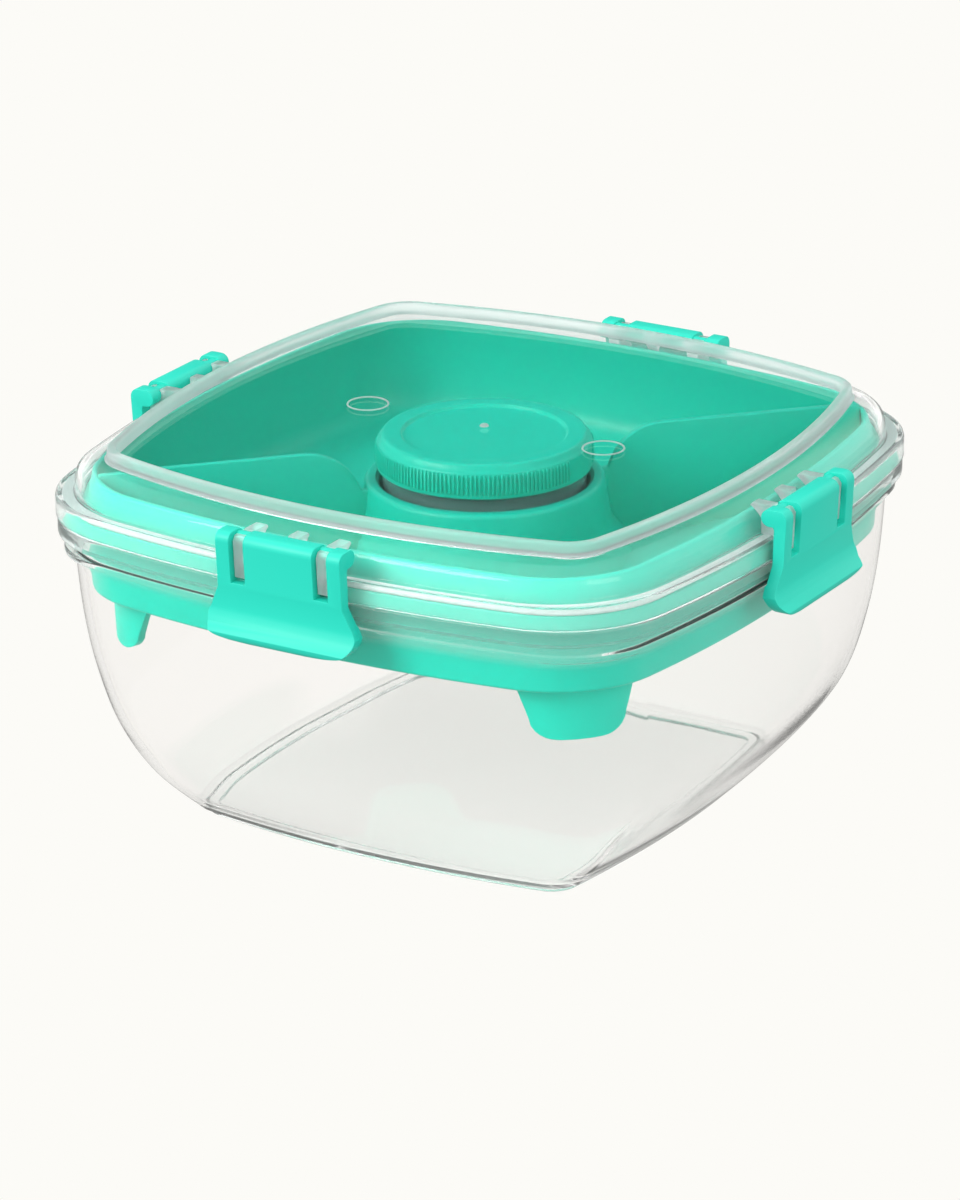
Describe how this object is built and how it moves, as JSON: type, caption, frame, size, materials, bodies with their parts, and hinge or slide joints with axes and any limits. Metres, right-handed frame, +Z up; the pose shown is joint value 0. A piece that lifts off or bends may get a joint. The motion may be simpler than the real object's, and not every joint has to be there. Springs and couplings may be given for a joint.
{
  "type": "snap lid food container",
  "caption": "Square lunch bowl with a clear lid held by side clips, a lift-out compartment tray and a small screw-top dressing pot in its middle.",
  "frame": {"origin": "centre of the footprint on the table", "axes": "+Z up; the four clips face -Y (front), +Y (back), -X (left) and +X (right)"},
  "size_m": [0.177, 0.177, 0.0903],
  "materials": {
    "clear_bowl": "clear glossy polypropylene, faintly milky",
    "clear_lid": "clear glossy polypropylene",
    "mint_tray": "opaque mint green, satin to gloss",
    "mint_clip": "opaque mint green, satin",
    "mint_pot_lid": "opaque mint green, satin",
    "clear_pot": "clear glossy plastic",
    "seal_silicone": "soft translucent silicone"
  },
  "bodies": {
    "bowl_body": {"bowl": "clear_bowl"},
    "tray_body": {"tray": "mint_tray"},
    "pot_body": {"dressing_pot": "clear_pot"},
    "pot_seal_body": {"pot_lid_seal": "seal_silicone"},
    "pot_lid_body": {"pot_lid": "mint_pot_lid"},
    "lid_body": {"lid": "clear_lid", "lid_seal": "seal_silicone"},
    "clip_front_body": {"clip_front": "mint_clip"},
    "clip_back_body": {"clip_back": "mint_clip"},
    "clip_left_body": {"clip_left": "mint_clip"},
    "clip_right_body": {"clip_right": "mint_clip"}
  },
  "joints": [
    {"name": "tray_lift", "type": "slide", "parent": "bowl_body", "child": "tray_body", "axis": [0, 0, 1], "range_m": [0, 0.05]},
    {"name": "pot_lift", "type": "slide", "parent": "tray_body", "child": "pot_body", "axis": [0, 0, 1], "range_m": [0, 0.045]},
    {"name": "pot_lid_lift", "type": "slide", "parent": "pot_body", "child": "pot_seal_body", "axis": [0, 0, 1], "range_m": [0, 0.00676]},
    {"name": "pot_lid_turn", "type": "hinge", "parent": "pot_seal_body", "child": "pot_lid_body", "pos_m": [0, 0, 0.081], "axis": [0, 0, 1], "range_deg": [0, 540]},
    {"name": "lid_lift", "type": "slide", "parent": "pot_seal_body", "child": "lid_body", "axis": [0, 0, 1], "range_m": [0, 0.06]},
    {"name": "clip_right_hinge", "type": "hinge", "parent": "lid_body", "child": "clip_right_body", "pos_m": [0.0823, 0, 0.0851], "axis": [0, -1, 0], "range_deg": [0, 95]},
    {"name": "clip_back_hinge", "type": "hinge", "parent": "lid_body", "child": "clip_back_body", "pos_m": [0, 0.0823, 0.0851], "axis": [1, 0, 0], "range_deg": [0, 95]},
    {"name": "clip_left_hinge", "type": "hinge", "parent": "lid_body", "child": "clip_left_body", "pos_m": [-0.0823, 0, 0.0851], "axis": [0, 1, 0], "range_deg": [0, 95]},
    {"name": "clip_front_hinge", "type": "hinge", "parent": "lid_body", "child": "clip_front_body", "pos_m": [0, -0.0823, 0.0851], "axis": [-1, 0, 0], "range_deg": [0, 95]}
  ],
  "couplings": [
    {"joint": "pot_lid_lift", "follows": "pot_lid_turn", "m_per_rad": 0.0007162}
  ]
}
